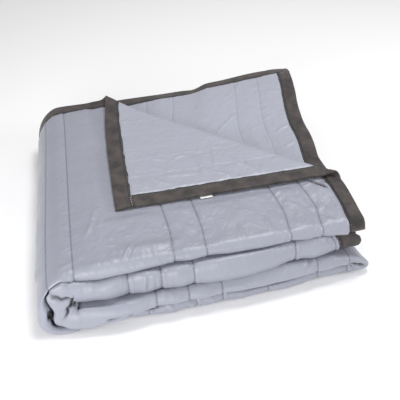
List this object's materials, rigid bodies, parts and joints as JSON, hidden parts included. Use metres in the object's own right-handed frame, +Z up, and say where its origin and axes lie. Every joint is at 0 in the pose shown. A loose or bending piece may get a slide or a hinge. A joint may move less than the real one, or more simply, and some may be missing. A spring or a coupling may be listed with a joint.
{
  "type": "folded cooling blanket",
  "caption": "Quilted satin summer blanket with a dark cloth binding, folded flat into a square stack with one corner of its top layer turned over.",
  "frame": {"origin": "middle of the stack's footprint, on the floor it rests on", "axes": "+Z up through the stack, +X towards the stack's right, where the bound ends lie, -Y towards its front folds"},
  "size_m": [0.546, 0.5486, 0.1238],
  "materials": {
    "quilted_satin": "pale grey lavender satin, quilted",
    "binding_tape": "dark taupe twill tape",
    "label_ribbon": "blank white ribbon"
  },
  "bodies": {
    "root": {"quilted_panel": "quilted_satin", "top_edge_binding": "binding_tape", "under_edge_binding": "binding_tape", "top_end_binding": "binding_tape", "inner_end_binding": "binding_tape", "sewn_label": "label_ribbon"}
  },
  "joints": []
}
